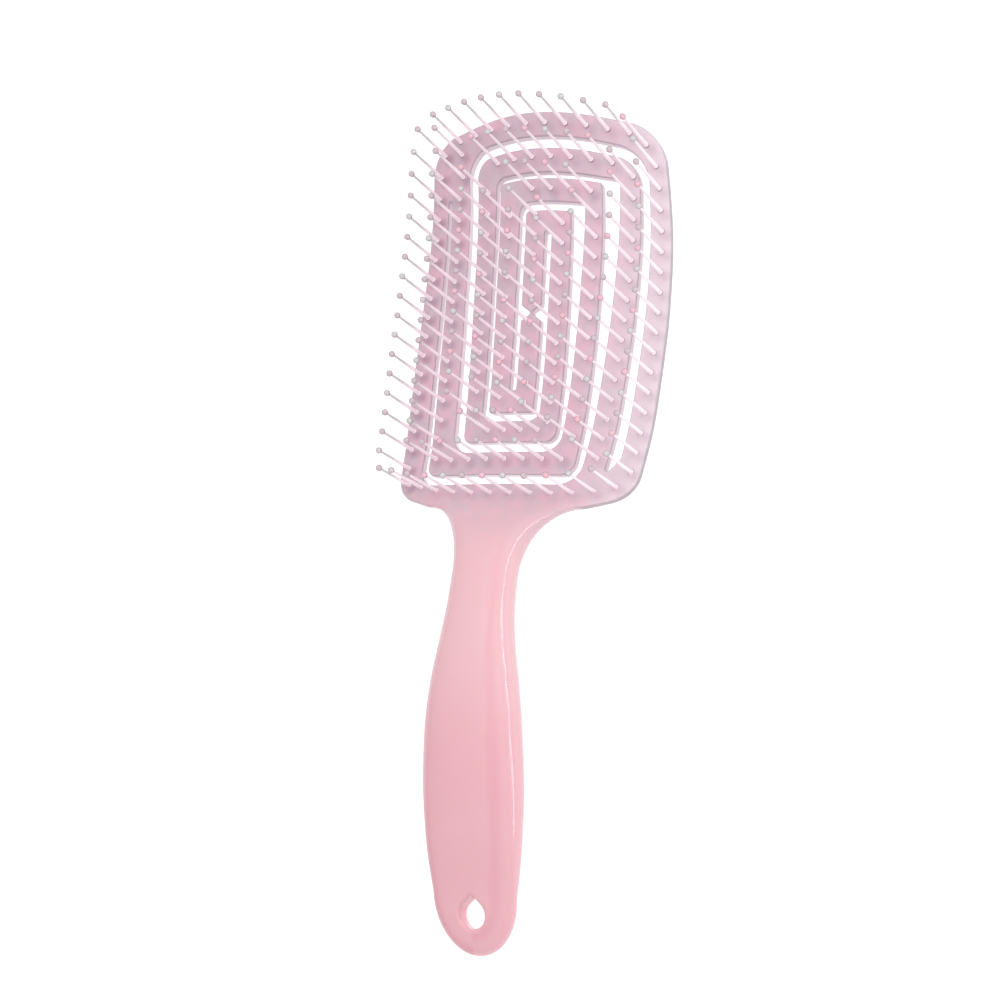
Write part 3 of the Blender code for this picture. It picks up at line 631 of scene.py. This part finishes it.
# Painted shadow beside each pin's root
seat_shadows = node(tree, "Attribute", {"attribute_name": "seat_shadow"}, output="Fac")
plate_colour = blend(tree, seat_shadows, plate_colour, (0.42, 0.26, 0.34, 1))
colour = blend(tree, in_head, handle_colour, plate_colour)
# Painted shade: a dark outline along the plate's edges. Painted light: paler slot walls
edges = node(tree, "Attribute", {"attribute_name": "edge"}, output="Fac")
wall_light = node(tree, "Attribute", {"attribute_name": "wall"}, output="Fac")
colour = blend(tree, edges * 0.8, colour, (0.36, 0.32, 0.35, 1))
colour = blend(tree, wall_light, colour, (0.80, 0.68, 0.74, 1))
tree.links.new(colour.output, shader.inputs["Base Color"])
put_on(body, plastic)
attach(body, "root")
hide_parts("brush_body")


# Pins
# 164 moulded nylon pins stand in rows along the ribbons. Each is a tapered round shaft with a
# ball on its end and a small collar at its root, spun from one outline; some are clear, some pink.
PIN_PITCH, PIN_LENGTH, BALL_RADIUS = 6.05, 19.0, 1.0


def spots_along(route):
    """Evenly spaced places along a route of straight stretches, about a pitch apart."""
    route = np.array(route, float)
    lengths = np.concatenate([[0], np.cumsum(np.linalg.norm(np.diff(route, axis=0), axis=1))])
    places = np.linspace(0, lengths[-1], max(1, round(lengths[-1] / PIN_PITCH)) + 1)
    spots = np.stack([np.interp(places, lengths, route[:, i]) for i in (0, 1)], 1)
    return [(float(x), float(y)) for x, y in spots]


def ribbon_column(side, column, ends, leans):
    """A route down the ribbon inside a slot column; leans say how far across it its ends stand."""
    route = []
    for y, lean in zip(np.linspace(along(ends[0]), along(ends[1]), 6), np.linspace(*leans, 6)):
        inner, outer = float(column_x(column, y)), float(column_x(column - 1, y))
        route.append((side * (inner + (outer - inner) * lean), y))
    return route


def arched_row(y, first, last, lift=0.0):
    """A route along the tip's arch, between two places across; lift raises its first end."""
    return [(x, y - arch_drop(x) + lift * max(0, x / first)) for x in np.linspace(first, last, 6)]


# The rows' routes, one for each straight run of a ribbon, named as the CAD's strips are
routes = {}
outer_y = HEAD_LENGTH - 3.0
TIP_REACH, NECK_REACH, COLUMN_START = 0.6756, 0.7506, 0.8107
tip_span, neck_span = TIP_REACH * HEAD_WIDTH / 2, NECK_REACH * HEAD_WIDTH / 2
routes["tip_outer"] = arched_row(outer_y, 0.9 - tip_span, 0.9 + tip_span, 0.9)
routes["neck_outer"] = [
    (neck_span * share + 0.9, 4.2 * (1 + 0.6 * share**4))
    for share in (-1.0, -0.75, -0.5, 0.0, 0.5, 0.75, 0.9, 1.04)
]
for side, word, gap in ((-1, "left", PIN_PITCH / 8), (1, "right", PIN_PITCH / 3)):
    x = side * COLUMN_START * HEAD_WIDTH / 2
    routes[word + "_outer"] = [(x, outer_y - arch_drop(x) - gap)] + [
        (side * (float(half_width(along(share))) - 2.7), along(share))
        for share in (0.875, 0.72, 0.56, 0.40, 0.25, 0.103)
    ]
routes["left_outer"].append((-0.841 * HEAD_WIDTH / 2, 0.065 * HEAD_LENGTH))
routes["right_second"] = ribbon_column(1, 1, (0.857, 0.138), (0.68, 0.50))
routes["left_second"] = [
    (x * HEAD_WIDTH / 2, y * HEAD_LENGTH) for x, y in ((-0.650, 0.935), (-0.640, 0.896))
]
routes["left_second"] += ribbon_column(-1, 1, (0.842, 0.1385), (0.60, 0.70))
routes["right_third"] = ribbon_column(1, 2, (0.757, 0.193), (0.555, 0.555))
routes["left_third"] = ribbon_column(-1, 2, (0.829, 0.265), (0.40, 0.44))
routes["right_fourth"] = ribbon_column(1, 3, (0.737, 0.232), (0.5, 0.5))
routes["left_fourth"] = ribbon_column(-1, 3, (0.762, 0.298), (0.5, 0.5))
for name, column, row, ends in (
    ("tip_second", 1, 0, (-0.57, 1.025)), ("tip_third", 2, 1, (-0.085, 1.285)),
):
    row_y = along((TIP_ROWS[row] + TIP_ROWS[row + 1]) / 2) + 0.7
    reach = float(column_x(column, row_y))
    routes[name] = arched_row(row_y, ends[0] * reach, ends[1] * reach)
for name, column, row, rise, ends in (
    ("neck_second", 1, 0, 1.5, (-1.08, 0.72)), ("neck_third", 2, 1, 0.7, (-0.876, 0.44)),
):
    row_y = along((NECK_ROWS[row] + NECK_ROWS[row + 1]) / 2) + rise
    reach = float(column_x(column, row_y))
    routes[name] = [(ends[0] * reach, row_y), (ends[1] * reach, row_y)]
routes["upper_tongue"] = [(0, along(0.761)), (0, along(0.555))]
routes["lower_tongue"] = [(0, along(0.487)), (0, along(0.282))]

# A painted shadow darkens the plate beside each pin's root, shifted to one side, strongest on some
# rows and most of all on the left
SEAT_SHADOW_DEPTH = {
    "left_outer": 0.9, "left_second": 0.7, "neck_second": 0.6, "tip_third": 0.55,
    "left_third": 0.45,
}
SEAT_SHIFT, SEAT_RADIUS = 1.3, 1.9
top_points = flat[:, :2] + np.where(flat[:, 2:] > 0, 0, 1e6)
seat_shadow = np.zeros(len(flat))
for name, route in routes.items():
    for x, y in spots_along(route):
        gap = np.hypot(top_points[:, 0] - x - SEAT_SHIFT, top_points[:, 1] - y + SEAT_SHIFT)
        spot = np.clip(1.25 - gap / SEAT_RADIUS, 0, 1)
        seat_shadow = np.maximum(seat_shadow, SEAT_SHADOW_DEPTH.get(name, 0.3) * spot)
mark("seat_shadow", seat_shadow)

# One pin, spun round Z from its outline, root at zero
COLLAR_RADIUS, COLLAR_TOP = 0.95, 0.1
profile = [
    (COLLAR_RADIUS, -0.5), (COLLAR_RADIUS, COLLAR_TOP), (0.68, 0.22), (0.62, 1.0), (0.52, 7.0),
    (0.40, 13.0), (0.33, PIN_LENGTH - 0.95),
]
profile += [
    (BALL_RADIUS * math.cos(angle), PIN_LENGTH + BALL_RADIUS * math.sin(angle))
    for angle in np.radians((-62, -28, 8, 42, 70))
]
profile += [(0, PIN_LENGTH + BALL_RADIUS)]
bpy.ops.object.select_all(action="DESELECT")
bpy.ops.mesh.primitive_circle_add(vertices=3)
pin = bpy.context.active_object
pin.name = "pin"
bpy.ops.object.mode_set(mode="EDIT")
bpy.ops.mesh.select_all(action="SELECT")
bpy.ops.mesh.delete(type="VERT")
shape = bmesh.from_edit_mesh(pin.data)
line = [shape.verts.new((radius, 0, z)) for radius, z in profile]
for start, end in zip(line, line[1:]):
    shape.edges.new((start, end))
bmesh.update_edit_mesh(pin.data)
bpy.ops.mesh.select_all(action="SELECT")
bpy.ops.mesh.spin(steps=8, angle=math.radians(360), center=(0, 0, 0), axis=(0, 0, 1))
bpy.ops.mesh.select_all(action="SELECT")
bpy.ops.mesh.remove_doubles(threshold=0.01)
bpy.ops.mesh.normals_make_consistent(inside=False)
bpy.ops.object.mode_set(mode="OBJECT")
only(pin)
bpy.ops.object.shade_smooth_by_angle(angle=math.radians(60))
heights = np.array([vert.co.z for vert in pin.data.vertices])
pin.data.attributes.new("tint", "FLOAT_COLOR", "POINT")

# The pins glow faintly in their own colour, a painted light standing in for light through clear
# nylon
nylon, tree, shader = material(
    "pale clear nylon", Roughness=0.12, IOR=1.5, Coat_Weight=0.2, Coat_Roughness=0.05,
    Emission_Strength=0.22,
)
tint = node(tree, "Attribute", {"attribute_name": "tint"}, output="Color")
in_ball = node(tree, "Attribute", {"attribute_name": "tint"}, output="Alpha")
# The balls' rims are painted dark where seen edge-on, a painted shade standing in for refraction in
# clear nylon
slant = node(tree, "LayerWeight", None, 0.5, output="Facing")
rim_shade = eased(tree, slant, 0.1, 0.6)
colour = blend(tree, rim_shade * in_ball * 0.7, tint, (0.36, 0.27, 0.30, 1))
tree.links.new(colour.output, shader.inputs["Base Color"])
tree.links.new(colour.output, shader.inputs["Emission Color"])
# The lower shaft is painted paler, a painted highlight, and the collar dark, a painted shadow of
# the seat
ROOT_HIGHLIGHT, SEAT_SHADOW_COLOUR = (0.93, 0.82, 0.87, 0), (0.36, 0.23, 0.28, 0)
CLEAR_SHAFT, SHADED_SHAFT = (0.88, 0.78, 0.83, 0), (0.60, 0.57, 0.58, 0)
PINK_BALL, DULL_BALL = (0.76, 0.44, 0.53, 1), (0.56, 0.46, 0.50, 1)
CLEAR_BALL = (0.57, 0.56, 0.57, 1)
# Heights up the pin, in mm, where its colours change; the shafts seen over the table are painted
# grey, a painted shade
SEAT_TOP, ROOT_TOP, SHAFT_TOP = 0.2, 12, 18.2
SHAFT_SHADE_ABOVE = {"tip_outer": 7, "left_outer": 7, "left_second": 13}

count = 0
for name, route in routes.items():
    copies = []
    for x, y in spots_along(route):
        copy = pin.copy()
        copy.data = pin.data.copy()
        bpy.context.scene.collection.objects.link(copy)
        top = float(wave(x, y)) + PLATE_THICKNESS / 2
        copy.data.transform(LAID_DOWN @ Matrix.Scale(MM, 4) @ Matrix.Translation((x, y, top)))
        over_floor = name in SHAFT_SHADE_ABOVE
        # Over the table the pink balls are painted dull, a painted shade like the shafts'
        ball = (DULL_BALL if over_floor else PINK_BALL, CLEAR_BALL, DULL_BALL)[count % 3]
        colours = [
            ball if z > SHAFT_TOP
            else SHADED_SHAFT if z > SHAFT_SHADE_ABOVE.get(name, PIN_LENGTH)
            else CLEAR_SHAFT if z > ROOT_TOP
            else ROOT_HIGHLIGHT if z > SEAT_TOP
            else SEAT_SHADOW_COLOUR
            for z in heights
        ]
        copy.data.attributes["tint"].data.foreach_set("color", np.ravel(colours))
        copies.append(copy)
        count += 1
    bpy.ops.object.select_all(action="DESELECT")
    for copy in copies:
        copy.select_set(True)
    bpy.context.view_layer.objects.active = copies[0]
    bpy.ops.object.join()
    row = bpy.context.active_object
    row.name = row.data.name = name + "_pins"
    put_on(row, nylon)
    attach(row, "root")
    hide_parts("pin_strip_" + name)
bpy.data.objects.remove(pin)
